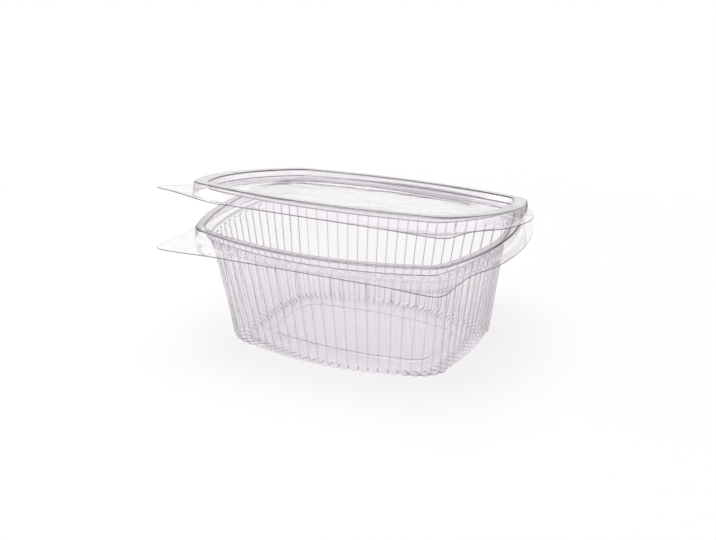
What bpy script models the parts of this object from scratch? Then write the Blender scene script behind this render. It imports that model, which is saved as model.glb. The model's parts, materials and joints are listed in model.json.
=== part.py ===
"""Clear hinged takeaway container: a fluted tub and its lid, formed from one sheet of plastic.

The tub stands on the plane z = 0 with its long side along X and its front at -Y.  The lid swings
on the sheet's folded back edge.  Both are open surfaces given the sheet's thickness by Solidify.
Levels are measured to the middle of the sheet.
"""
import math

import bpy
from mathutils import Vector

MM = 0.001

# Sheet and flutes
SHEET = 0.4 * MM
FLUTES = 72                      # around the whole tub
FLUTE_DEPTH = 0.9 * MM

# The rim bead's outer top edge in plan: a rectangle with bowed sides and small corners
RIM_HALF_LENGTH = 85.0 * MM
RIM_HALF_DEPTH = 73.4 * MM
RIM_SIDE_RADIUS = 179.0 * MM     # bow of the long sides
RIM_END_RADIUS = 137.0 * MM      # bow of the short sides
RIM_CORNER_RADIUS = 16.0 * MM

# The tub's foot in plan
FOOT_HALF_LENGTH = 67.5 * MM
FOOT_HALF_DEPTH = 53.0 * MM
FOOT_SIDE_RADIUS = 150.0 * MM
FOOT_END_RADIUS = 200.0 * MM
FOOT_CORNER_RADIUS = 18.0 * MM

# The raised panel in the tub's floor
PANEL_HALF_LENGTH = 52.0 * MM
PANEL_HALF_DEPTH = 31.0 * MM
PANEL_SIDE_RADIUS = 200.0 * MM
PANEL_END_RADIUS = 160.0 * MM
PANEL_CORNER_RADIUS = 12.0 * MM
PANEL_RISE = 1.2 * MM
PANEL_SLOPE = 1.2 * MM           # how far the panel's edge leans inwards

# The faint oval step in the lid's panel
STEP_HALF_LENGTH = 63.0 * MM
STEP_HALF_DEPTH = 44.0 * MM
STEP_SIDE_RADIUS = 120.0 * MM
STEP_END_RADIUS = 90.0 * MM
STEP_CORNER_RADIUS = 30.0 * MM
STEP_DROP = 0.8 * MM

# Heights of the tub
TUB_HEIGHT = 69.0 * MM
RIM_TOP = TUB_HEIGHT - SHEET / 2
FLANGE_LEVEL = RIM_TOP - 7.0 * MM
LEDGE_LEVEL = RIM_TOP - 5.8 * MM
WALL_TOP = LEDGE_LEVEL - 0.4 * MM
FLUTE_TOP = WALL_TOP - 6.0 * MM
FOOT_TOP = 3.0 * MM
FLOOR_LEVEL = SHEET / 2

# Insets from the rim's outer top edge, inwards positive
TUB_BEAD_FOOT = -1.0 * MM
TUB_BEAD_INNER = 4.8 * MM
TUB_LEDGE_OUTER = 6.0 * MM
TUB_LEDGE_INNER = 7.2 * MM
FLUTE_TOP_INSET = 9.2 * MM
FOOT_INSET = 2.2 * MM            # the floor's edge, inside the foot's outline

LID_BEAD_FOOT = -2.2 * MM
LID_BEAD_OUTER = -1.6 * MM
LID_BEAD_INNER = 5.9 * MM
LID_PANEL_EDGE = 6.5 * MM
LID_BEAD_HEIGHT = 7.0 * MM
LID_RECESS = 3.8 * MM

# The flat flange around both rims, with a finger tab at each front corner
FLANGE_FRONT = 77.0 * MM
TAB_FRONT = 79.0 * MM
TAB_STARTS = 45.0 * MM           # along X, where the front edge begins to swell into the tab
TAB_HALF_LENGTH = 82.0 * MM
TAB_RADIUS = 6.0 * MM
LEFT_TAB_EXTRA = 3.0 * MM        # how much further the left tab reaches
LID_TAB_LIFT = 4.0 * MM          # the lid's left tab is bent up by this at its corner
FLANGE_SIDE_WIDTH = 6.2 * MM     # beyond the rim's outer top edge at the short sides
WAIST_FRONT = 55.0 * MM          # the side leaves the tab's straight edge here ...
WAIST_BACK = 22.0 * MM           # ... and has joined the bowed edge here
HINGE_CORNER_RADIUS = 6.0 * MM

# Hinge along the back edge; the lid stands open by LID_OPEN
HINGE_Y = 84.0 * MM
HINGE_GAP = 0.3 * MM
CLOSED_GAP = 0.3 * MM            # air between the two flanges when shut
HINGE_LEVEL = FLANGE_LEVEL + (SHEET + CLOSED_GAP) / 2
LID_FLANGE_LEVEL = FLANGE_LEVEL + SHEET + CLOSED_GAP
LID_OPEN = math.radians(10.0)

SLACK = 0.001                    # lets a ray through the joint of two edges hit one of them
TUB_COLUMNS = 2 * FLUTES
LID_COLUMNS = 72

# The whole object's box is centred on the origin in plan
CENTRE_Y = (HINGE_Y - HINGE_GAP - TAB_FRONT) / 2


class Oval:
    """Outline of four bowed sides and four corners, each an arc that runs smoothly into the next."""

    def __init__(self, half_length, half_depth, side_radius, end_radius, corner_radius):
        self.sizes = (half_length, half_depth, side_radius, end_radius, corner_radius)
        side_centre = Vector((0.0, half_depth - side_radius))
        end_centre = Vector((half_length - end_radius, 0.0))
        side_reach = side_radius - corner_radius
        end_reach = end_radius - corner_radius
        span = end_centre - side_centre
        along = (side_reach ** 2 - end_reach ** 2 + span.length_squared) / (2 * span.length)
        across = math.sqrt(side_reach ** 2 - along ** 2)
        unit = span.normalized()
        corner_centre = side_centre + unit * along + Vector((unit.y, -unit.x)) * across
        from_end = corner_centre - end_centre
        from_side = corner_centre - side_centre
        end_angle = math.atan2(from_end.y, from_end.x)
        side_angle = math.atan2(from_side.y, from_side.x)
        self.arcs = [
            (end_centre, end_radius, 0.0, end_angle),
            (corner_centre, corner_radius, end_angle, side_angle),
            (side_centre, side_radius, side_angle, math.pi / 2),
        ]
        self.quarter = sum(radius * (stop - start) for _, radius, start, stop in self.arcs)

    def inset(self, distance):
        """The parallel outline, further in by distance."""
        return Oval(*(size - distance for size in self.sizes))

    def at(self, turn):
        """Point and outward normal at a share of the way round, from +X towards +Y."""
        quadrant = int(turn * 4) % 4
        share = turn * 4 - int(turn * 4)
        if quadrant % 2:
            share = 1.0 - share
        remaining = share * self.quarter
        for centre, radius, start, stop in self.arcs:
            angle = min(start + remaining / radius, stop)
            if angle < stop:
                break
            remaining -= radius * (stop - start)
        normal = Vector((math.cos(angle), math.sin(angle)))
        point = centre + normal * radius
        sign = Vector(((1, -1, -1, 1)[quadrant], (1, 1, -1, -1)[quadrant]))
        return point * sign, normal * sign


RIM = Oval(RIM_HALF_LENGTH, RIM_HALF_DEPTH, RIM_SIDE_RADIUS, RIM_END_RADIUS, RIM_CORNER_RADIUS)
FOOT = Oval(FOOT_HALF_LENGTH, FOOT_HALF_DEPTH, FOOT_SIDE_RADIUS, FOOT_END_RADIUS, FOOT_CORNER_RADIUS)
PANEL = Oval(PANEL_HALF_LENGTH, PANEL_HALF_DEPTH, PANEL_SIDE_RADIUS, PANEL_END_RADIUS,
             PANEL_CORNER_RADIUS)
STEP = Oval(STEP_HALF_LENGTH, STEP_HALF_DEPTH, STEP_SIDE_RADIUS, STEP_END_RADIUS,
            STEP_CORNER_RADIUS)


def smoothstep(value):
    value = min(max(value, 0.0), 1.0)
    return value * value * (3 - 2 * value)


def flange_half_length(y):
    """How far the flange reaches along X: the bowed end, drawn in to the tab's edge at the front."""
    radius = RIM_END_RADIUS + FLANGE_SIDE_WIDTH
    bowed = RIM_HALF_LENGTH - RIM_END_RADIUS + math.sqrt(radius ** 2 - y ** 2)
    share = smoothstep((y + WAIST_FRONT) / (WAIST_FRONT - WAIST_BACK))
    return TAB_HALF_LENGTH + (bowed - TAB_HALF_LENGTH) * share


def flange_front(x):
    """How far the flange reaches towards the front: straight, swelling a little into the tabs."""
    tab_end = TAB_HALF_LENGTH - TAB_RADIUS
    share = smoothstep((abs(x) - TAB_STARTS) / (tab_end - TAB_STARTS))
    return FLANGE_FRONT + (TAB_FRONT - FLANGE_FRONT) * share


def arc(centre, radius, start, stop, steps=8):
    angles = [start + (stop - start) * i / steps for i in range(steps + 1)]
    return [centre + radius * Vector((math.cos(a), math.sin(a))) for a in angles]


def left_tab_share(x, y):
    """1 at the left front corner, falling to 0 towards the front's middle and along the side."""
    along_front = smoothstep((-x - TAB_STARTS) / (TAB_HALF_LENGTH - TAB_STARTS))
    along_side = smoothstep(-y / TAB_FRONT)
    return along_front * along_side


def flange_outline():
    """The flange's edge in plan, anticlockwise from the front's middle."""
    tab_centre = Vector((TAB_HALF_LENGTH - TAB_RADIUS, TAB_RADIUS - TAB_FRONT))
    back = HINGE_Y - HINGE_GAP
    end_centre = Vector((RIM_HALF_LENGTH - RIM_END_RADIUS, 0.0))
    reach = RIM_END_RADIUS + FLANGE_SIDE_WIDTH - HINGE_CORNER_RADIUS
    corner_y = back - HINGE_CORNER_RADIUS
    corner = Vector((end_centre.x + math.sqrt(reach ** 2 - corner_y ** 2), corner_y))
    turn = math.asin(corner_y / reach)
    side_stop = (corner + HINGE_CORNER_RADIUS * Vector((math.cos(turn), math.sin(turn)))).y

    steps = 24
    front_xs = [tab_centre.x * i / steps for i in range(steps)]
    side_ys = [tab_centre.y + (side_stop - tab_centre.y) * i / steps for i in range(1, steps)]
    right = [Vector((x, -flange_front(x))) for x in front_xs]
    right += arc(tab_centre, TAB_RADIUS, -math.pi / 2, 0.0)
    right += [Vector((flange_half_length(y), y)) for y in side_ys]
    right += arc(corner, HINGE_CORNER_RADIUS, turn, math.pi / 2)
    left = [Vector((-point.x, point.y)) for point in reversed(right[1:])]
    for point in left:
        point.x -= LEFT_TAB_EXTRA * left_tab_share(point.x, point.y)
    return right + left


OUTLINE = flange_outline()


def reach_outline(point, direction):
    """Where a ray from inside the flange's outline crosses it."""
    nearest = None
    for i, start in enumerate(OUTLINE):
        edge = OUTLINE[(i + 1) % len(OUTLINE)] - start
        denominator = direction.x * edge.y - direction.y * edge.x
        if abs(denominator) < 1e-12:
            continue
        offset = start - point
        distance = (offset.x * edge.y - offset.y * edge.x) / denominator
        share = (offset.x * direction.y - offset.y * direction.x) / denominator
        if distance > 0 and -SLACK <= share <= 1 + SLACK:
            nearest = distance if nearest is None else min(nearest, distance)
    return point + direction * nearest


def level(outline, z, columns, flute=0.0):
    """One loop of the surface; every second column is drawn in by flute."""
    loop = []
    for i in range(columns):
        point, normal = outline.at(i / columns)
        point = point - normal * (flute if i % 2 == 0 else 0.0)
        loop.append(Vector((point.x, point.y, z)))
    return loop


def flange_level(bead_foot, z, columns, tab_lift=0.0):
    """The flange's edge; the left tab is bent up by tab_lift at its corner."""
    loop = []
    for i in range(columns):
        edge = reach_outline(*bead_foot.at(i / columns))
        loop.append(Vector((edge.x, edge.y, z + tab_lift * left_tab_share(edge.x, edge.y))))
    return loop


def tub_levels():
    """From the flange's edge over the bead, down the fluted wall and across the floor."""
    bead_foot = RIM.inset(TUB_BEAD_FOOT)
    return [
        flange_level(bead_foot, FLANGE_LEVEL, TUB_COLUMNS),
        level(bead_foot, FLANGE_LEVEL, TUB_COLUMNS),
        level(RIM, RIM_TOP, TUB_COLUMNS),
        level(RIM.inset(TUB_BEAD_INNER), RIM_TOP, TUB_COLUMNS),
        level(RIM.inset(TUB_LEDGE_OUTER), LEDGE_LEVEL, TUB_COLUMNS),
        level(RIM.inset(TUB_LEDGE_INNER), WALL_TOP, TUB_COLUMNS),
        level(RIM.inset(FLUTE_TOP_INSET), FLUTE_TOP, TUB_COLUMNS, FLUTE_DEPTH),
        level(FOOT, FOOT_TOP, TUB_COLUMNS, FLUTE_DEPTH),
        level(FOOT.inset(FOOT_INSET), FLOOR_LEVEL, TUB_COLUMNS, FLUTE_DEPTH),
        level(PANEL, FLOOR_LEVEL, TUB_COLUMNS),
        level(PANEL.inset(PANEL_SLOPE), FLOOR_LEVEL + PANEL_RISE, TUB_COLUMNS),
    ]


def lid_levels():
    """From the flange's edge over the bead and across the sunk panel, with the lid shut."""
    bead_foot = RIM.inset(LID_BEAD_FOOT)
    bead_top = LID_FLANGE_LEVEL + LID_BEAD_HEIGHT
    panel = bead_top - LID_RECESS
    return [
        flange_level(bead_foot, LID_FLANGE_LEVEL, LID_COLUMNS, LID_TAB_LIFT),
        level(bead_foot, LID_FLANGE_LEVEL, LID_COLUMNS),
        level(RIM.inset(LID_BEAD_OUTER), bead_top, LID_COLUMNS),
        level(RIM.inset(LID_BEAD_INNER), bead_top, LID_COLUMNS),
        level(RIM.inset(LID_PANEL_EDGE), panel, LID_COLUMNS),
        level(STEP, panel, LID_COLUMNS),
        level(STEP.inset(STEP_DROP), panel - STEP_DROP, LID_COLUMNS),
    ]


def clear_plastic():
    material = bpy.data.materials.new("clear_plastic")
    material.use_nodes = True
    shader = material.node_tree.nodes["Principled BSDF"]
    shader.inputs["Base Color"].default_value = (0.93, 0.91, 0.94, 1.0)
    shader.inputs["Roughness"].default_value = 0.05
    shader.inputs["Metallic"].default_value = 0.0
    shader.inputs["IOR"].default_value = 1.57
    shader.inputs["Transmission Weight"].default_value = 1.0
    return material


def sheet_object(name, levels, origin, material, collection):
    """Loft the levels, close the middle with one flat face, and thicken the sheet."""
    columns = len(levels[0])
    vertices = [point - origin for loop in levels for point in loop]
    faces = []
    for k in range(len(levels) - 1):
        for i in range(columns):
            j = (i + 1) % columns
            outer, inner = k * columns, (k + 1) * columns
            faces.append((outer + i, outer + j, inner + j, inner + i))
    last = (len(levels) - 1) * columns
    faces.append(tuple(range(last, last + columns)))
    mesh = bpy.data.meshes.new(name)
    mesh.from_pydata(vertices, [], faces)
    mesh.materials.append(material)
    mesh.shade_smooth()
    mesh.set_sharp_from_angle(angle=math.radians(30))
    piece = bpy.data.objects.new(name, mesh)
    piece.location = origin
    collection.objects.link(piece)
    solidify = piece.modifiers.new("sheet", "SOLIDIFY")
    solidify.thickness = SHEET
    solidify.offset = 0.0
    solidify.use_even_offset = True
    return piece


def main():
    for old in list(bpy.data.objects):
        bpy.data.objects.remove(old, do_unlink=True)
    collection = bpy.data.collections.new("hinged_container")
    bpy.context.scene.collection.children.link(collection)
    material = clear_plastic()

    centre = bpy.data.objects.new("centre", None)
    centre.location = (0.0, -CENTRE_Y, 0.0)
    collection.objects.link(centre)
    tub = sheet_object("tub", tub_levels(), Vector((0.0, 0.0, 0.0)), material, collection)
    hinge = Vector((0.0, HINGE_Y, HINGE_LEVEL))
    lid = sheet_object("lid", lid_levels(), hinge, material, collection)
    lid.rotation_euler.x = -LID_OPEN
    tub.parent = centre
    lid.parent = centre


main()
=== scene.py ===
"""Clear hinged takeaway container: an empty fluted tub with its lid standing ajar.

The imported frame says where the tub, the lid and the hinge are.  The two CAD sheets are replaced by
fine ones with rounded bends, arched flute tops and a scalloped foot, and the fold that joins them
is added.  Everything is in metres, and levels are measured to the middle of the sheet.
"""
import json
import math

import bpy
import numpy as np
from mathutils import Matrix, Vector

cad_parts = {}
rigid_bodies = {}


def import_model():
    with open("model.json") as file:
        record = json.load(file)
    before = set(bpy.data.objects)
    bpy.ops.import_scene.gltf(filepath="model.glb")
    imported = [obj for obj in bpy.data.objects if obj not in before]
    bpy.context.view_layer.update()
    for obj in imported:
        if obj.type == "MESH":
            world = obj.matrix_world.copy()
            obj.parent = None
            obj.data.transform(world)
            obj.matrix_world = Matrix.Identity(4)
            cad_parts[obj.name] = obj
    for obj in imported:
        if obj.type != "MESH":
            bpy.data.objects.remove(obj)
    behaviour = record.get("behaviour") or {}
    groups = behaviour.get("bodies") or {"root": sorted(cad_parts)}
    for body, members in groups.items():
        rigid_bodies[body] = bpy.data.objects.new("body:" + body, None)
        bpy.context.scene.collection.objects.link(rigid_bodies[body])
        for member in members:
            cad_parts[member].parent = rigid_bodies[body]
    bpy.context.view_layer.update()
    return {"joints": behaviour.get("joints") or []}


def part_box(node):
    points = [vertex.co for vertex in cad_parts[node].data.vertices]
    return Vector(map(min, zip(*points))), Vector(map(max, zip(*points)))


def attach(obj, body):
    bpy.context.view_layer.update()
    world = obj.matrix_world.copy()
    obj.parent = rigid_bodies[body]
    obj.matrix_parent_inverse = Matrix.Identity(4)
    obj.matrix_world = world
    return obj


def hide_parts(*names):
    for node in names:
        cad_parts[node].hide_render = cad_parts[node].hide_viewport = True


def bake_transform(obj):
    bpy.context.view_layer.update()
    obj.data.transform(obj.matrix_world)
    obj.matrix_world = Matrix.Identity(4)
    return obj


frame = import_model()

MM = 0.001

# ---------------------------------------------------------------- the frame's own places
_, TUB_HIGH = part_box("tub")
JOINT = frame["joints"][0]
HINGE = Vector(JOINT["pos_m"])
LID_OPEN = math.radians(-JOINT["range_deg"][0])

# ---------------------------------------------------------------- sizes, as the CAD model has them
SHEET = 0.4 * MM
FLUTES = 72
FLUTE_DEPTH = 0.9 * MM

RIM_SIZES = [size * MM for size in (85.0, 73.4, 179.0, 137.0, 16.0)]
FOOT_SIZES = [size * MM for size in (67.5, 53.0, 150.0, 200.0, 18.0)]
PANEL_SIZES = [size * MM for size in (52.0, 31.0, 200.0, 160.0, 12.0)]
STEP_SIZES = [size * MM for size in (63.0, 44.0, 120.0, 90.0, 30.0)]
PANEL_RISE = 1.2 * MM
PANEL_SLOPE = 1.2 * MM
STEP_DROP = 0.8 * MM

RIM_TOP = TUB_HIGH.z - SHEET / 2
FLANGE_LEVEL = RIM_TOP - 7.0 * MM
LEDGE_LEVEL = RIM_TOP - 5.8 * MM
WALL_TOP = LEDGE_LEVEL - 0.4 * MM
FLUTE_TOP = WALL_TOP - 6.0 * MM
FOOT_TOP = 3.0 * MM
FLOOR_LEVEL = SHEET / 2

# Insets from the rim's outer top edge, inwards positive
TUB_BEAD_FOOT = -1.0 * MM
TUB_BEAD_INNER = 4.8 * MM
TUB_LEDGE_OUTER = 6.0 * MM
TUB_LEDGE_INNER = 7.2 * MM
FLUTE_TOP_INSET = 9.2 * MM
FOOT_INSET = 2.2 * MM

LID_BEAD_FOOT = -2.2 * MM
LID_BEAD_OUTER = -1.6 * MM
LID_BEAD_INNER = 5.9 * MM
LID_PANEL_EDGE = 6.5 * MM
LID_BEAD_HEIGHT = 7.0 * MM
LID_RECESS = 3.8 * MM

HINGE_GAP = 0.3 * MM
HINGE_Y = 84.0 * MM              # from the middle of the rim
FLANGE_FRONT = 77.0 * MM
TAB_FRONT = 79.0 * MM
TAB_STARTS = 45.0 * MM
TAB_HALF_LENGTH = 82.0 * MM
TAB_RADIUS = 6.0 * MM
LEFT_TAB_EXTRA = 3.0 * MM
LID_TAB_LIFT = 4.0 * MM
FLANGE_SIDE_WIDTH = 6.2 * MM
WAIST_FRONT = 55.0 * MM
WAIST_BACK = 22.0 * MM
HINGE_CORNER_RADIUS = 6.0 * MM
LID_FLANGE_LEVEL = 2 * HINGE.z - FLANGE_LEVEL

CENTRE = Vector((0.0, HINGE.y - HINGE_Y, 0.0))       # the middle of the rim, on the floor

# ---------------------------------------------------------------- finer sizes, for the looks only
# Where a flute's columns stand, closer together at the crease between two flutes
FLUTE_COLUMNS = np.array((0.0, 0.06, 0.15, 0.32, 0.5, 0.68, 0.85, 0.94))
LID_COLUMNS = 432
FLANGE_ROWS = (1.0, 0.85, 0.65, 0.45, 0.3)   # shares of the way from the bead to the edge
BEAD_ROW_GAP = 2.2 * MM          # the widest gap between two rows of the tub's bead
LID_BEAD_ROW_GAP = 1.6 * MM      # the same, of the lid's bead
FLOOR_ROW_GAP = 1.6 * MM         # the same, where the flutes run in across the floor
UPPER_WALL_ROWS = 14
LOWER_WALL_ROWS = 9
SHOULDER_RADIUS = 1.1 * MM
INNER_SHOULDER_RADIUS = 0.9 * MM
FOOT_FILLET = 0.8 * MM
LEDGE_FILLET = 0.5 * MM
PANEL_FILLET = 0.6 * MM
STEP_FILLET = 0.8 * MM
OVAL_MARGIN = 1.5 * MM           # flat sheet kept on both sides of a panel's or step's slope
TUB_LEAD_IN = 0.7 * MM           # flat flange kept before the bead
LID_LEAD_IN = 0.4 * MM
LID_EDGE_FLAT = 2.0 * MM
ARCH_DROP = 0.6 * MM             # how far the highest arch stays below the wall's top
FLUTE_START = 0.8 * MM           # the height over which the flutes begin
ARCH_HEIGHT = 5.0 * MM
ARCH_STEP = 1.2 * MM             # how far below the arch a flute reaches its full depth
FLUTE_RUNS_IN = 11.0 * MM        # how far the flutes run in across the floor
FLUTE_FADES = 5.0 * MM           # where they begin to fade on the way
FOOT_BEND = 1.0 * MM             # how far above the foot its bend begins
FOOT_BEND_OUT = 0.18 * MM        # how far outside the foot's outline it begins
FOOT_RADIUS_UPPER = 2.0 * MM
FOOT_RADIUS_LOWER = 2.6 * MM
HALF_WEB = 61.0 * MM
FOLD_SHEET = 0.2 * MM            # the fold is pressed thinner than the sheet

FLAG_CLEARANCE = 7.0 * MM
FLAG_OUTER = 0.600
FLAG_LEVEL = 1.0 * MM
FLAG_SIDES = 64

# Painted shade on the tight bends, from 0 to 1, standing in for the light that enters them and runs on
# inside the sheet
FLANK_SHADE = 0.08
ARCH_SHADE = 0.9
FACE_ON_SHADE = 0.30
CREASE_SHADE = 0.55
CREASE_FROM = 0.8                # where the crease begins, as a share of a flute's half width
CREASE_WIDTH = 0.2               # the rest of that half width
FOLD_SHADE = 0.5
SHARP_ANGLE = math.radians(50)

# The plastic
PLASTIC_IOR = 1.57
PLAIN_TINT = (0.985, 0.965, 0.985, 1.0)
# painted shade: the near-black that the tight bends are mixed towards
BEND_PAINTED_SHADE = (0.03, 0.02, 0.035, 1.0)
SHADOW_TINT = (0.83, 0.80, 0.83, 1.0)
INSIDE_TINT = (0.5, 0.42, 0.5, 1.0)
INSIDE_DENSITY = 70.0
BEND_SHADE_FROM = 0.28           # how far a bend has turned from the eye when its painted shade starts to show
BEND_SHADE_FULL = 0.75
HAZE_SCALE = 60.0
MOST_ROUGHNESS = 0.04
WAVE_SCALE = 90.0
WAVE_STRENGTH = 0.25
WAVE_HEIGHT = 0.2 * MM
EDGE_TRANSMISSION = 0.3
EDGE_ROUGHNESS = 0.25
EDGE_GRAIN = 200.0
# painted shade on the cut edge, standing in for the light it leads along the sheet
EDGE_SHADE_DEEP = (0.10, 0.085, 0.11, 1.0)
EDGE_SHADE_PALE = (0.22, 0.19, 0.24, 1.0)

# The stage
FLOOR_WIDTH = 8.0
FLOOR_DROP = 0.2 * MM            # keeps the floor clear of the tub's underside
FLOOR_COLOUR = (0.92, 0.92, 0.92, 1.0)
FLOOR_ROUGHNESS = 0.6
FLOOR_GLOW = 0.68                # the share of plain white next to the object, rising to 1 far off
GLOW_RISES_FROM = 0.15
GLOW_FULL_AT = 0.40
WHITE_BELOW = 0.36               # the direction's height where the room turns from white to dark
DARK_ABOVE = 0.50
DARK_SKY = 0.03
ROOM_LIGHT = 0.6                 # what the room adds as soft light
FLAG_COLOUR = (0.01, 0.01, 0.01, 1.0)
FLAG_ROUGHNESS = 0.9
LAMPS = (                        # name, place, power in watts, width
    ("key", (-0.15, 0.05, 1.3), 11.0, 1.0),
    ("side", (-1.3, -0.5, 0.7), 3.0, 0.6),
)
START_OBJECTS = ("Cube", "Light", "Camera")
CLEAR_BOUNCES = 40
SHADOW_BOUNCES = 64
GLOSSY_BOUNCES = 8

# The camera
AZIMUTH = math.radians(26.8)
ELEVATION = math.radians(19.63)
DISTANCE = 0.7305
FOCAL_SHARE = 1300.0 / 716.0     # focal length over the picture's width
SENSOR_WIDTH = 36.0
AIM_LEFT = 2.29 * MM
AIM_UP = 3.33 * MM


# ---------------------------------------------------------------- outlines in plan
class Oval:
    """Outline of four bowed sides and four corners, each an arc that runs smoothly into the next."""

    def __init__(self, half_length, half_depth, side_radius, end_radius, corner_radius):
        self.sizes = (half_length, half_depth, side_radius, end_radius, corner_radius)
        side_centre = np.array((0.0, half_depth - side_radius))
        end_centre = np.array((half_length - end_radius, 0.0))
        side_reach = side_radius - corner_radius
        end_reach = end_radius - corner_radius
        span = end_centre - side_centre
        distance = np.hypot(*span)
        along = (side_reach ** 2 - end_reach ** 2 + distance ** 2) / (2 * distance)
        across = math.sqrt(side_reach ** 2 - along ** 2)
        unit = span / distance
        corner_centre = side_centre + unit * along + np.array((unit[1], -unit[0])) * across
        end_angle = math.atan2(*(corner_centre - end_centre)[::-1])
        side_angle = math.atan2(*(corner_centre - side_centre)[::-1])
        self.arcs = [
            (end_centre, end_radius, 0.0, end_angle),
            (corner_centre, corner_radius, end_angle, side_angle),
            (side_centre, side_radius, side_angle, math.pi / 2),
        ]

    def inset(self, distance):
        return Oval(*(size - distance for size in self.sizes))

    def loop(self, turns):
        """Points and outward normals at shares of the way round, from +X towards +Y."""
        quadrant = np.floor(turns * 4).astype(int) % 4
        share = turns * 4 - np.floor(turns * 4)
        share = np.where(quadrant % 2 == 1, 1 - share, share)
        lengths = [radius * (stop - start) for _, radius, start, stop in self.arcs]
        remaining = share * sum(lengths)
        points = np.zeros((len(turns), 2))
        normals = np.zeros((len(turns), 2))
        open_ends = np.full(len(turns), True)
        for (centre, radius, start, stop), length in zip(self.arcs, lengths):
            angle = start + np.clip(remaining / radius, 0.0, stop - start)
            normal = np.stack([np.cos(angle), np.sin(angle)], 1)
            points[open_ends] = (centre + normal * radius)[open_ends]
            normals[open_ends] = normal[open_ends]
            open_ends = open_ends & (remaining > length)
            remaining = remaining - length
        signs = np.stack([np.array((1, -1, -1, 1))[quadrant], np.array((1, 1, -1, -1))[quadrant]], 1)
        return points * signs, normals * signs


RIM = Oval(*RIM_SIZES)
FOOT = Oval(*FOOT_SIZES)
PANEL = Oval(*PANEL_SIZES)
STEP = Oval(*STEP_SIZES)


def smoothstep(value):
    value = np.clip(value, 0.0, 1.0)
    return value * value * (3 - 2 * value)


def arc(centre, radius, start, stop, steps=12):
    angles = np.linspace(start, stop, steps + 1)
    return np.asarray(centre) + radius * np.stack([np.cos(angles), np.sin(angles)], 1)


def left_tab_share(x, y):
    """1 at the left front corner, falling to 0 towards the front's middle and along the side."""
    along_front = smoothstep((-x - TAB_STARTS) / (TAB_HALF_LENGTH - TAB_STARTS))
    return along_front * smoothstep(-y / TAB_FRONT)


def flange_outline():
    """The flange's edge in plan, anticlockwise from the front's middle."""
    rim_length, _, _, end_radius, _ = RIM_SIZES
    tab_x, tab_y = TAB_HALF_LENGTH - TAB_RADIUS, TAB_RADIUS - TAB_FRONT
    bow = end_radius + FLANGE_SIDE_WIDTH
    bow_x = rim_length - end_radius
    corner_y = HINGE_Y - HINGE_GAP - HINGE_CORNER_RADIUS
    turn = math.asin(corner_y / (bow - HINGE_CORNER_RADIUS))
    corner_x = bow_x + (bow - HINGE_CORNER_RADIUS) * math.cos(turn)

    front_x = np.linspace(0.0, tab_x, 40)[:-1]
    swell = smoothstep((front_x - TAB_STARTS) / (tab_x - TAB_STARTS))
    front = np.stack([front_x, -FLANGE_FRONT - (TAB_FRONT - FLANGE_FRONT) * swell], 1)
    side_y = np.linspace(tab_y, bow * math.sin(turn), 90)[1:-1]
    bowed = bow_x + np.sqrt(bow ** 2 - side_y ** 2)
    waist = smoothstep((side_y + WAIST_FRONT) / (WAIST_FRONT - WAIST_BACK))
    side = np.stack([TAB_HALF_LENGTH + (bowed - TAB_HALF_LENGTH) * waist, side_y], 1)
    right = np.concatenate([
        front,
        arc((tab_x, tab_y), TAB_RADIUS, -math.pi / 2, 0.0),
        side,
        arc((corner_x, corner_y), HINGE_CORNER_RADIUS, turn, math.pi / 2),
    ])
    left = right[1:][::-1] * (-1, 1)
    left[:, 0] -= LEFT_TAB_EXTRA * left_tab_share(left[:, 0], left[:, 1])
    return np.concatenate([right, left])


OUTLINE = flange_outline()


def reach_outline(points, directions):
    """Where rays from inside the flange's outline cross it."""
    edges = np.roll(OUTLINE, -1, axis=0) - OUTLINE
    offsets = OUTLINE[None] - points[:, None]
    ray = directions[:, None]
    denominator = ray[..., 0] * edges[None, :, 1] - ray[..., 1] * edges[None, :, 0]
    denominator = np.where(np.abs(denominator) < 1e-12, 1e-12, denominator)
    distance = (offsets[..., 0] * edges[None, :, 1] - offsets[..., 1] * edges[None, :, 0]) / denominator
    share = (offsets[..., 0] * ray[..., 1] - offsets[..., 1] * ray[..., 0]) / denominator
    slack = 1e-6
    hit = (distance > 0) & (share >= -slack) & (share <= 1 + slack)
    nearest = np.where(hit, distance, np.inf).min(1)
    return points + directions * nearest[:, None]


# ---------------------------------------------------------------- profiles and lofts
def rounded(points, parts, corners, steps=4):
    """A bent line of (inset, z, bend) with its inner corners rounded.

    bend is the painted shade there: parts has its value for each straight part, and
    corners has (radius, bend) for each inner corner.
    """
    points = [np.array(point, float) for point in points]
    line = [np.append(points[0], parts[0])]
    for i, (radius, strength) in enumerate(corners, start=1):
        corner = points[i]
        back = points[i - 1] - corner
        ahead = points[i + 1] - corner
        back_length, ahead_length = np.hypot(*back), np.hypot(*ahead)
        back, ahead = back / back_length, ahead / ahead_length
        half = math.acos(np.clip(back @ ahead, -1, 1)) / 2
        reach = min(radius / math.tan(half), 0.48 * back_length, 0.48 * ahead_length)
        centre = corner + (back + ahead) / np.hypot(*(back + ahead)) * reach / math.cos(half)
        start = corner + back * reach - centre
        stop = corner + ahead * reach - centre
        angle = math.pi - 2 * half
        for share in np.linspace(0.0, 1.0, steps + 1):
            turned = math.sin((1 - share) * angle) * start + math.sin(share * angle) * stop
            plain = parts[i - 1] + (parts[i] - parts[i - 1]) * share
            # the painted shade peaks halfway round each rounded corner
            bend = plain + (strength - plain) * math.sin(math.pi * share) ** 2
            line.append(np.append(centre + turned / math.sin(angle), bend))
    line.append(np.append(points[-1], parts[-1]))
    return line


def spaced(line, step):
    """The same line with extra points wherever two are further apart than step."""
    out = [line[0]]
    for start, stop in zip(line, line[1:]):
        parts = max(1, math.ceil(np.hypot(*(stop - start)[:2]) / step))
        out += [start + (stop - start) * k / parts for k in range(1, parts + 1)]
    return out


def raised(points, z, bend=0.0):
    """Plan points with a height and the painted shade there, as x, y, z and bend."""
    height = np.broadcast_to(z, len(points))
    dark = np.broadcast_to(bend, len(points))
    return np.column_stack([points, height, dark])


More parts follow.
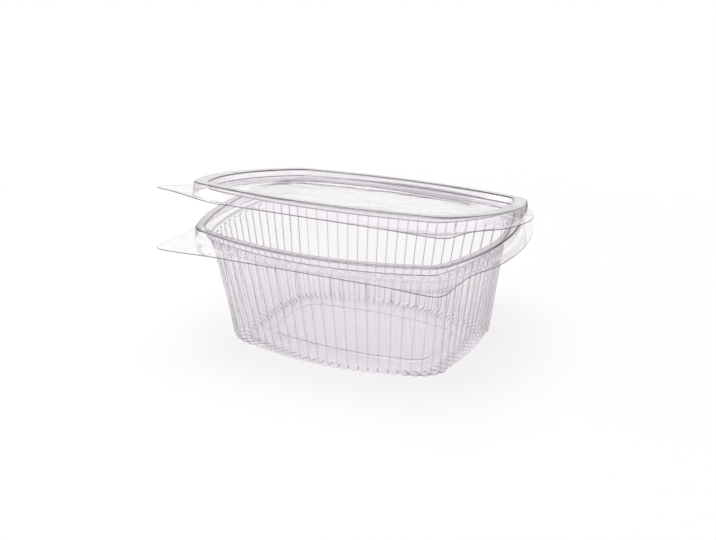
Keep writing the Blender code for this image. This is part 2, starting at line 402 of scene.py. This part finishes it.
def flange_rows(bead_foot, level, turns, tab_lift=0.0):
    """The flange from its edge to just short of the bead; the left tab is bent up by tab_lift."""
    points, normals = bead_foot.loop(turns)
    edge = reach_outline(points, normals)
    lift = tab_lift * left_tab_share(edge[:, 0], edge[:, 1])
    rows = []
    for share in FLANGE_ROWS:
        rows.append(raised(points + (edge - points) * share, level + lift * share))
    return rows


def rim_rows(profile, turns):
    """One loop for each (inset, z, bend) of a profile, inset from the rim's outer top edge."""
    return [raised(RIM.inset(inset).loop(turns)[0], z, bend) for inset, z, bend in profile]


def loft(name, rows):
    """Joins the loops into one sheet and closes its middle."""
    columns = len(rows[0])
    index = np.arange(len(rows) * columns).reshape(len(rows), columns)
    around = np.roll(index, -1, axis=1)
    quads = np.stack([index[:-1], around[:-1], around[1:], index[1:]], -1).reshape(-1, 4)
    faces = [tuple(quad) for quad in quads.tolist()]
    faces.append(tuple(index[-1].tolist()))
    mesh = bpy.data.meshes.new(name)
    points = np.concatenate(rows)
    mesh.from_pydata(points[:, :3], [], faces)
    # the bend attribute carries the painted shade of each point
    mesh.attributes.new("bend", "FLOAT", "POINT").data.foreach_set("value", points[:, 3])
    mesh.shade_smooth()
    piece = bpy.data.objects.new(name, mesh)
    bpy.context.scene.collection.objects.link(piece)
    return piece


def thicken(piece, materials, thickness=SHEET):
    """Gives a sheet its thickness, with the cut edge in the second material."""
    for material in materials:
        piece.data.materials.append(material)
    solidify = piece.modifiers.new("sheet", "SOLIDIFY")
    solidify.thickness = thickness
    solidify.offset = 0.0
    solidify.use_even_offset = True
    solidify.material_offset_rim = 1
    bpy.context.view_layer.update()
    evaluated = piece.evaluated_get(bpy.context.evaluated_depsgraph_get())
    mesh = bpy.data.meshes.new_from_object(evaluated)
    piece.modifiers.clear()
    piece.data = mesh
    mesh.set_sharp_from_angle(angle=SHARP_ANGLE)


# ---------------------------------------------------------------- the tub
def flute_drop(turns, z, foot_share):
    """How far a point lies behind the flutes' crests, and the painted shade on its bend."""
    across = 2 * np.abs((turns * FLUTES) % 1.0 - 0.5)
    bulge = 1 - across ** 2
    arch = WALL_TOP - ARCH_DROP - ARCH_HEIGHT * across ** 2
    open_share = smoothstep((arch - z) / ARCH_STEP)
    starts = smoothstep((WALL_TOP - z) / FLUTE_START)
    # Painted shade: along the crease between two flutes, and under each flute's arch
    nearness = smoothstep((across - CREASE_FROM) / CREASE_WIDTH)
    crease = (FLANK_SHADE + (1 - FLANK_SHADE) * nearness) * open_share
    hood_shade = ARCH_SHADE * 4 * open_share * (1 - open_share)
    bend = np.maximum(crease * CREASE_SHADE, hood_shade) * starts * foot_share
    return FLUTE_DEPTH * (1 - bulge * open_share) * starts * foot_share, bend


def fluted(turns, points, normals, z, inward=(1.0, 0.0), share=1.0):
    """A loop pushed back between the flutes, along inward's plan and height parts."""
    drop, bend = flute_drop(turns, z, share)
    moved = points - normals * (drop * inward[0])[:, None]
    return raised(moved, z + drop * inward[1], bend)


def tub_bead_rows(turns):
    """The bead around the mouth, which the lid's ring closes over, and the ledge inside it."""
    # The last point only gives the last corner its direction, and is left out of the rows
    bead = rounded(
        [(TUB_BEAD_FOOT - TUB_LEAD_IN, FLANGE_LEVEL), (TUB_BEAD_FOOT, FLANGE_LEVEL), (0.0, RIM_TOP),
         (TUB_BEAD_INNER, RIM_TOP), (TUB_LEDGE_OUTER, LEDGE_LEVEL), (TUB_LEDGE_INNER, WALL_TOP),
         (TUB_LEDGE_INNER + 0.2 * MM, WALL_TOP - 0.6 * MM)],
        # painted shade on each straight part, then on each rounded corner
        [0.0, 0.0, 0.35, 0.0, 0.35, 0.2, 0.2],
        [(FOOT_FILLET, 0.4), (SHOULDER_RADIUS, 1.8), (INNER_SHOULDER_RADIUS, 1.1),
         (LEDGE_FILLET, 1.6), (LEDGE_FILLET, 0.6)])
    return rim_rows(spaced(bead[:-1], BEAD_ROW_GAP), turns)


def wall_rows(turns):
    """The fluted wall, from just under the ledge to where the foot's bend begins."""
    top_outline, top_normals = RIM.inset(TUB_LEDGE_INNER).loop(turns)
    shoulder_outline, _ = RIM.inset(FLUTE_TOP_INSET).loop(turns)
    foot_outline, foot_normals = FOOT.loop(turns)
    rows = []
    for z in np.linspace(WALL_TOP, FLUTE_TOP, UPPER_WALL_ROWS)[1:]:
        down = (WALL_TOP - z) / (WALL_TOP - FLUTE_TOP)
        points = top_outline + (shoulder_outline - top_outline) * down
        rows.append(fluted(turns, points, top_normals, z))
    for z in np.linspace(FLUTE_TOP, FOOT_TOP + FOOT_BEND, LOWER_WALL_ROWS)[1:]:
        down = (FLUTE_TOP - z) / (FLUTE_TOP - FOOT_TOP)
        points = shoulder_outline + (foot_outline - shoulder_outline) * down
        normals = top_normals + (foot_normals - top_normals) * down
        normals /= np.hypot(*normals.T)[:, None]
        rows.append(fluted(turns, points, normals, z))
    return rows


def foot_rows(turns):
    """The rounded foot and the flutes' ends on the floor, as insets from the foot's outline."""
    foot = rounded([(-FOOT_BEND_OUT, FOOT_TOP + FOOT_BEND), (0.0, FOOT_TOP),
                    (FOOT_INSET * 0.45, FLOOR_LEVEL), (FLUTE_RUNS_IN, FLOOR_LEVEL)],
                   [0.0] * 4, [(FOOT_RADIUS_UPPER, 0.0), (FOOT_RADIUS_LOWER, 0.0)])
    line = spaced(foot, FLOOR_ROW_GAP)[1:]
    rows = []
    for k, (inset, z, _) in enumerate(line):
        before, after = line[max(k - 1, 0)][:2], line[min(k + 1, len(line) - 1)][:2]
        run = (after - before) / np.hypot(*(after - before))
        share = 1 - smoothstep((inset - FLUTE_FADES) / (FLUTE_RUNS_IN - FLUTE_FADES))
        points, normals = FOOT.inset(inset).loop(turns)
        rows.append(fluted(turns, points, normals, z, (-run[1], run[0]), share))
    return rows


def slope_rows(outline, level, top_level, width, fillet, slope_shade, corner_shade, turns):
    """A raised or sunk oval: flat, then a rounded slope, then flat again, with painted shade on the
    slope and its corners.
    """
    slope = rounded([(-OVAL_MARGIN, level), (0.0, level), (width, top_level),
                     (width + OVAL_MARGIN, top_level)],
                    [0.0, 0.0, slope_shade, 0.0], [(fillet, corner_shade)] * 2)
    return [raised(outline.inset(inset).loop(turns)[0], z, bend) for inset, z, bend in slope]


def tub_rows(turns):
    rows = flange_rows(RIM.inset(TUB_BEAD_FOOT), FLANGE_LEVEL, turns)
    rows += tub_bead_rows(turns) + wall_rows(turns) + foot_rows(turns)
    # Halfway between the flutes' ends and the floor's raised panel
    inner = FOOT.inset(FLUTE_RUNS_IN).loop(turns)[0]
    rows.append(raised(inner + (PANEL.loop(turns)[0] - inner) * 0.5, FLOOR_LEVEL))
    rows += slope_rows(PANEL, FLOOR_LEVEL, FLOOR_LEVEL + PANEL_RISE, PANEL_SLOPE, PANEL_FILLET,
                       0.1, 0.4, turns)
    return rows


# ---------------------------------------------------------------- the lid
def lid_rows(turns):
    bead_foot = RIM.inset(LID_BEAD_FOOT)
    top = LID_FLANGE_LEVEL + LID_BEAD_HEIGHT
    panel = top - LID_RECESS
    rows = flange_rows(bead_foot, LID_FLANGE_LEVEL, turns, LID_TAB_LIFT)
    bead = rounded(
        [(LID_BEAD_FOOT - LID_LEAD_IN, LID_FLANGE_LEVEL), (LID_BEAD_FOOT, LID_FLANGE_LEVEL),
         (LID_BEAD_OUTER, top), (LID_BEAD_INNER, top), (LID_PANEL_EDGE, panel),
         (LID_PANEL_EDGE + LID_EDGE_FLAT, panel)],
        # painted shade on each straight part, then on each rounded corner
        [0.0, 0.0, 0.4, 0.02, 0.4, 0.0],
        [(FOOT_FILLET, 0.6), (SHOULDER_RADIUS, 1.2), (INNER_SHOULDER_RADIUS, 2.2),
         (FOOT_FILLET, 1.6)])
    rows += rim_rows(spaced(bead, LID_BEAD_ROW_GAP), turns)
    edge = RIM.inset(LID_PANEL_EDGE + LID_EDGE_FLAT).loop(turns)[0]
    step_edge = STEP.inset(-OVAL_MARGIN).loop(turns)[0]
    rows += [raised(edge + (step_edge - edge) * share, panel) for share in (0.33, 0.67)]
    rows += slope_rows(STEP, panel, panel - STEP_DROP, STEP_DROP, STEP_FILLET, 0.02, 0.08, turns)
    return rows


def stand_ajar(rows):
    """Turns rows given for the shut lid about the hinge to where the frame holds it."""
    cos, sin = math.cos(LID_OPEN), math.sin(LID_OPEN)
    out = []
    for row in rows:
        y, z = row[:, 1] - HINGE_Y, row[:, 2] - HINGE.z
        turned_y = y * cos + z * sin + HINGE_Y
        turned_z = z * cos - y * sin + HINGE.z
        out.append(np.column_stack([row[:, 0], turned_y, turned_z, row[:, 3]]))
    return out


# ---------------------------------------------------------------- materials
def material_nodes(name):
    material = bpy.data.materials.new(name)
    material.use_nodes = True
    nodes, links = material.node_tree.nodes, material.node_tree.links
    return material, nodes, links, nodes["Principled BSDF"], nodes["Material Output"]


def clear_sheet():
    """Clear PET: glossy, faintly mauve, a little wavy, with painted shade on its bends, and it lets
    lamps through to the floor.
    """
    material, nodes, links, shader, output = material_nodes("clear_sheet")
    shader.inputs["IOR"].default_value = PLASTIC_IOR
    # Painted shade on the bends, darkest where a bend is seen along the sheet
    facing = nodes.new("ShaderNodeLayerWeight")
    facing.inputs["Blend"].default_value = 0.5
    along = nodes.new("ShaderNodeMapRange")
    along.interpolation_type = "SMOOTHSTEP"
    along.inputs["From Min"].default_value = BEND_SHADE_FROM
    along.inputs["From Max"].default_value = BEND_SHADE_FULL
    along.inputs["To Min"].default_value = FACE_ON_SHADE
    along.inputs["To Max"].default_value = 1.0
    links.new(facing.outputs["Facing"], along.inputs["Value"])
    # the bend attribute holds each point's painted shade
    bend = nodes.new("ShaderNodeAttribute")
    bend.attribute_name = "bend"
    dark = nodes.new("ShaderNodeMath")
    dark.operation = "MULTIPLY"
    links.new(along.outputs["Result"], dark.inputs[0])
    links.new(bend.outputs["Fac"], dark.inputs[1])
    # the plastic's tint, mixed towards painted shade on the bends
    tint_and_painted_shade = nodes.new("ShaderNodeMix")
    tint_and_painted_shade.data_type = "RGBA"
    tint_and_painted_shade.inputs[6].default_value = PLAIN_TINT
    tint_and_painted_shade.inputs[7].default_value = BEND_PAINTED_SHADE
    links.new(dark.outputs["Value"], tint_and_painted_shade.inputs[0])
    links.new(tint_and_painted_shade.outputs[2], shader.inputs["Base Color"])
    shader.inputs["Transmission Weight"].default_value = 1.0

    place = nodes.new("ShaderNodeTexCoord")
    haze = nodes.new("ShaderNodeTexNoise")
    haze.inputs["Scale"].default_value = HAZE_SCALE
    haze.inputs["Detail"].default_value = 3.0
    links.new(place.outputs["Object"], haze.inputs["Vector"])
    rough = nodes.new("ShaderNodeMapRange")
    rough.inputs["To Min"].default_value = 0.0
    rough.inputs["To Max"].default_value = MOST_ROUGHNESS
    links.new(haze.outputs["Fac"], rough.inputs["Value"])
    links.new(rough.outputs["Result"], shader.inputs["Roughness"])

    wave = nodes.new("ShaderNodeTexNoise")
    wave.inputs["Scale"].default_value = WAVE_SCALE
    wave.inputs["Detail"].default_value = 2.0
    links.new(place.outputs["Object"], wave.inputs["Vector"])
    bump = nodes.new("ShaderNodeBump")
    bump.inputs["Strength"].default_value = WAVE_STRENGTH
    bump.inputs["Distance"].default_value = WAVE_HEIGHT
    links.new(wave.outputs["Fac"], bump.inputs["Height"])
    links.new(bump.outputs["Normal"], shader.inputs["Normal"])

    path = nodes.new("ShaderNodeLightPath")
    through = nodes.new("ShaderNodeBsdfTransparent")
    through.inputs["Color"].default_value = SHADOW_TINT
    mix = nodes.new("ShaderNodeMixShader")
    links.new(path.outputs["Is Shadow Ray"], mix.inputs["Fac"])
    links.new(shader.outputs["BSDF"], mix.inputs[1])
    links.new(through.outputs["BSDF"], mix.inputs[2])
    links.new(mix.outputs["Shader"], output.inputs["Surface"])
    inside = nodes.new("ShaderNodeVolumeAbsorption")
    inside.inputs["Color"].default_value = INSIDE_TINT
    inside.inputs["Density"].default_value = INSIDE_DENSITY
    links.new(inside.outputs["Volume"], output.inputs["Volume"])
    return material


def cut_edge():
    """The sheet's cut edge, in painted shade that stands in for the light it leads along the sheet."""
    material, nodes, links, shader, _ = material_nodes("cut_edge")
    shader.inputs["IOR"].default_value = PLASTIC_IOR
    shader.inputs["Transmission Weight"].default_value = EDGE_TRANSMISSION
    shader.inputs["Roughness"].default_value = EDGE_ROUGHNESS
    place = nodes.new("ShaderNodeTexCoord")
    grain = nodes.new("ShaderNodeTexNoise")
    grain.inputs["Scale"].default_value = EDGE_GRAIN
    links.new(place.outputs["Object"], grain.inputs["Vector"])
    # painted shade, mottled by the noise
    ramp = nodes.new("ShaderNodeValToRGB")
    ramp.color_ramp.elements[0].color = EDGE_SHADE_DEEP
    ramp.color_ramp.elements[1].color = EDGE_SHADE_PALE
    links.new(grain.outputs["Fac"], ramp.inputs["Fac"])
    links.new(ramp.outputs["Color"], shader.inputs["Base Color"])
    return material


# ---------------------------------------------------------------- pieces
def sheets(materials):
    tub_turns = ((np.arange(FLUTES)[:, None] + FLUTE_COLUMNS) / FLUTES).ravel()
    tub = loft("tub_sheet", tub_rows(tub_turns))
    tub.location = CENTRE
    thicken(tub, materials)
    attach(tub, "tub")
    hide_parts("tub")

    lid_turns = np.arange(LID_COLUMNS) / LID_COLUMNS
    lid = loft("lid_sheet", stand_ajar(lid_rows(lid_turns)))
    lid.location = CENTRE
    thicken(lid, materials)
    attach(lid, "lid")
    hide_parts("lid")


def hinge_fold(material):
    """The fold of thin sheet that joins the two flanges behind the hinge's axis."""
    radius = (LID_FLANGE_LEVEL - FLANGE_LEVEL) / 2
    section = [(-HINGE_GAP, FLANGE_LEVEL - HINGE.z)]
    section += [tuple(p) for p in arc((0.0, 0.0), radius, -math.pi / 2, math.pi / 2, 10)]
    section.append((-HINGE_GAP, radius))
    rows = []
    for y, z in section:
        opened = LID_OPEN * smoothstep((z + radius) / (2 * radius))
        turned_y = y * math.cos(opened) + z * math.sin(opened)
        turned_z = z * math.cos(opened) - y * math.sin(opened)
        rows.append((turned_y + HINGE.y, turned_z + HINGE.z))
    xs = np.linspace(-HALF_WEB, HALF_WEB, 62)
    points = [(x, y, z) for y, z in rows for x in xs]
    index = np.arange(len(points)).reshape(len(rows), len(xs))
    quads = np.stack([index[:-1, :-1], index[:-1, 1:], index[1:, 1:], index[1:, :-1]], -1)
    mesh = bpy.data.meshes.new("hinge_fold")
    mesh.from_pydata(points, [], [tuple(quad) for quad in quads.reshape(-1, 4).tolist()])
    # the whole fold carries painted shade
    mesh.attributes.new("bend", "FLOAT", "POINT").data.foreach_set("value", [FOLD_SHADE] * len(points))
    mesh.shade_smooth()
    fold = bpy.data.objects.new("hinge_fold", mesh)
    bpy.context.scene.collection.objects.link(fold)
    thicken(fold, [material, material], FOLD_SHEET)
    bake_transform(fold)


# ---------------------------------------------------------------- stage, light and camera
def floor():
    """A pale floor that looks white and keeps a faint shadow."""
    bpy.ops.mesh.primitive_plane_add(size=FLOOR_WIDTH, location=(0.0, 0.0, -FLOOR_DROP))
    plane = bpy.context.object
    plane.name = "floor"
    material, nodes, links, shader, output = material_nodes("floor_white")
    shader.inputs["Base Color"].default_value = FLOOR_COLOUR
    shader.inputs["Roughness"].default_value = FLOOR_ROUGHNESS
    path = nodes.new("ShaderNodeLightPath")
    seen = nodes.new("ShaderNodeMath")
    seen.operation = "MAXIMUM"
    links.new(path.outputs["Is Camera Ray"], seen.inputs[0])
    links.new(path.outputs["Is Glossy Ray"], seen.inputs[1])
    seen_through = nodes.new("ShaderNodeMath")
    seen_through.operation = "MAXIMUM"
    links.new(seen.outputs["Value"], seen_through.inputs[0])
    links.new(path.outputs["Is Transmission Ray"], seen_through.inputs[1])
    place = nodes.new("ShaderNodeTexCoord")
    distance = nodes.new("ShaderNodeVectorMath")
    distance.operation = "LENGTH"
    links.new(place.outputs["Object"], distance.inputs[0])
    plain = nodes.new("ShaderNodeMapRange")
    plain.inputs["From Min"].default_value = GLOW_RISES_FROM
    plain.inputs["From Max"].default_value = GLOW_FULL_AT
    plain.inputs["To Min"].default_value = FLOOR_GLOW
    plain.inputs["To Max"].default_value = 1.0
    links.new(distance.outputs["Value"], plain.inputs["Value"])
    share = nodes.new("ShaderNodeMath")
    share.operation = "MULTIPLY"
    links.new(plain.outputs["Result"], share.inputs[1])
    links.new(seen_through.outputs["Value"], share.inputs[0])
    white = nodes.new("ShaderNodeEmission")
    white.inputs["Strength"].default_value = 1.0
    mix = nodes.new("ShaderNodeMixShader")
    links.new(share.outputs["Value"], mix.inputs["Fac"])
    links.new(shader.outputs["BSDF"], mix.inputs[1])
    links.new(white.outputs["Emission"], mix.inputs[2])
    links.new(mix.outputs["Shader"], output.inputs["Surface"])
    plane.data.materials.append(material)


def world():
    """White behind everything that is seen, and a plain grey for what the room adds as light."""
    scene = bpy.context.scene
    scene.world = bpy.data.worlds.new("studio")
    scene.world.use_nodes = True
    nodes, links = scene.world.node_tree.nodes, scene.world.node_tree.links
    background = nodes["Background"]
    path = nodes.new("ShaderNodeLightPath")
    seen_bent = nodes.new("ShaderNodeMath")
    seen_bent.operation = "MAXIMUM"
    links.new(path.outputs["Is Glossy Ray"], seen_bent.inputs[0])
    links.new(path.outputs["Is Transmission Ray"], seen_bent.inputs[1])
    # Mirrored and seen through bends, the room is white up to a height and dark above it
    direction = nodes.new("ShaderNodeTexCoord")
    parts = nodes.new("ShaderNodeSeparateXYZ")
    links.new(direction.outputs["Generated"], parts.inputs["Vector"])
    sky = nodes.new("ShaderNodeMapRange")
    sky.inputs["From Min"].default_value = WHITE_BELOW
    sky.inputs["From Max"].default_value = DARK_ABOVE
    sky.inputs["To Min"].default_value = 1.0
    sky.inputs["To Max"].default_value = DARK_SKY
    links.new(parts.outputs["Z"], sky.inputs["Value"])
    through_or_mirrored = nodes.new("ShaderNodeMix")
    through_or_mirrored.inputs[2].default_value = ROOM_LIGHT
    links.new(seen_bent.outputs["Value"], through_or_mirrored.inputs[0])
    links.new(sky.outputs["Result"], through_or_mirrored.inputs[3])
    strength = nodes.new("ShaderNodeMix")
    strength.inputs[3].default_value = 1.0
    links.new(path.outputs["Is Camera Ray"], strength.inputs[0])
    links.new(through_or_mirrored.outputs[0], strength.inputs[2])
    links.new(strength.outputs[0], background.inputs["Strength"])
    background.inputs["Color"].default_value = (1.0, 1.0, 1.0, 1.0)


def dark_flag():
    """A black ring lying around the object, seen only in reflections: it draws the dark edges."""
    turns = np.linspace(0.0, 2 * math.pi, FLAG_SIDES + 1)[:-1]
    circle = np.stack([np.cos(turns), np.sin(turns)], 1)
    inner = (FOOT_SIZES[0] + FLAG_CLEARANCE, FOOT_SIZES[1] + FLAG_CLEARANCE)
    points = np.concatenate([circle * inner, circle * FLAG_OUTER])
    quads = []
    for i in range(FLAG_SIDES):
        following = (i + 1) % FLAG_SIDES
        quads.append((i, following, FLAG_SIDES + following, FLAG_SIDES + i))
    mesh = bpy.data.meshes.new("dark_flag")
    mesh.from_pydata(raised(points, FLAG_LEVEL)[:, :3], [], quads)
    flag = bpy.data.objects.new("dark_flag", mesh)
    bpy.context.scene.collection.objects.link(flag)
    material, _, _, shader, _ = material_nodes("flag_black")
    shader.inputs["Base Color"].default_value = FLAG_COLOUR
    shader.inputs["Roughness"].default_value = FLAG_ROUGHNESS
    mesh.materials.append(material)
    flag.visible_camera = False
    flag.visible_diffuse = False
    flag.visible_transmission = False
    flag.visible_shadow = False


def lamps():
    for name, location, power, size in LAMPS:
        data = bpy.data.lights.new(name, "AREA")
        data.energy = power
        data.size = size
        lamp = bpy.data.objects.new(name, data)
        bpy.context.scene.collection.objects.link(lamp)
        lamp.location = location
        lamp.rotation_euler = (-Vector(location)).to_track_quat("-Z", "Y").to_euler()


def camera():
    """Seen from the right of the front, a little from above."""
    back = Vector((math.sin(AZIMUTH) * math.cos(ELEVATION), -math.cos(AZIMUTH) * math.cos(ELEVATION),
                   math.sin(ELEVATION)))
    right = Vector((math.cos(AZIMUTH), math.sin(AZIMUTH), 0.0))
    up = back.cross(right)
    aim = CENTRE + Vector((0.0, 0.0, TUB_HIGH.z / 2)) - right * AIM_LEFT + up * AIM_UP
    data = bpy.data.cameras.new("camera")
    data.sensor_width = SENSOR_WIDTH
    data.lens = FOCAL_SHARE * data.sensor_width
    data.clip_start = 0.01
    data.clip_end = 50.0
    seer = bpy.data.objects.new("camera", data)
    bpy.context.scene.collection.objects.link(seer)
    seer.location = aim + back * DISTANCE
    seer.rotation_euler = back.to_track_quat("Z", "Y").to_euler()
    bpy.context.scene.camera = seer


def main():
    for old in [o for o in bpy.data.objects if o.name in START_OBJECTS]:
        bpy.data.objects.remove(old, do_unlink=True)
    scene = bpy.context.scene
    scene.view_settings.view_transform = "Standard"
    scene.cycles.max_bounces = CLEAR_BOUNCES
    scene.cycles.transmission_bounces = CLEAR_BOUNCES
    scene.cycles.transparent_max_bounces = SHADOW_BOUNCES
    scene.cycles.glossy_bounces = GLOSSY_BOUNCES
    clear = clear_sheet()
    sheets([clear, cut_edge()])
    hinge_fold(clear)
    floor()
    dark_flag()
    world()
    lamps()
    camera()


main()
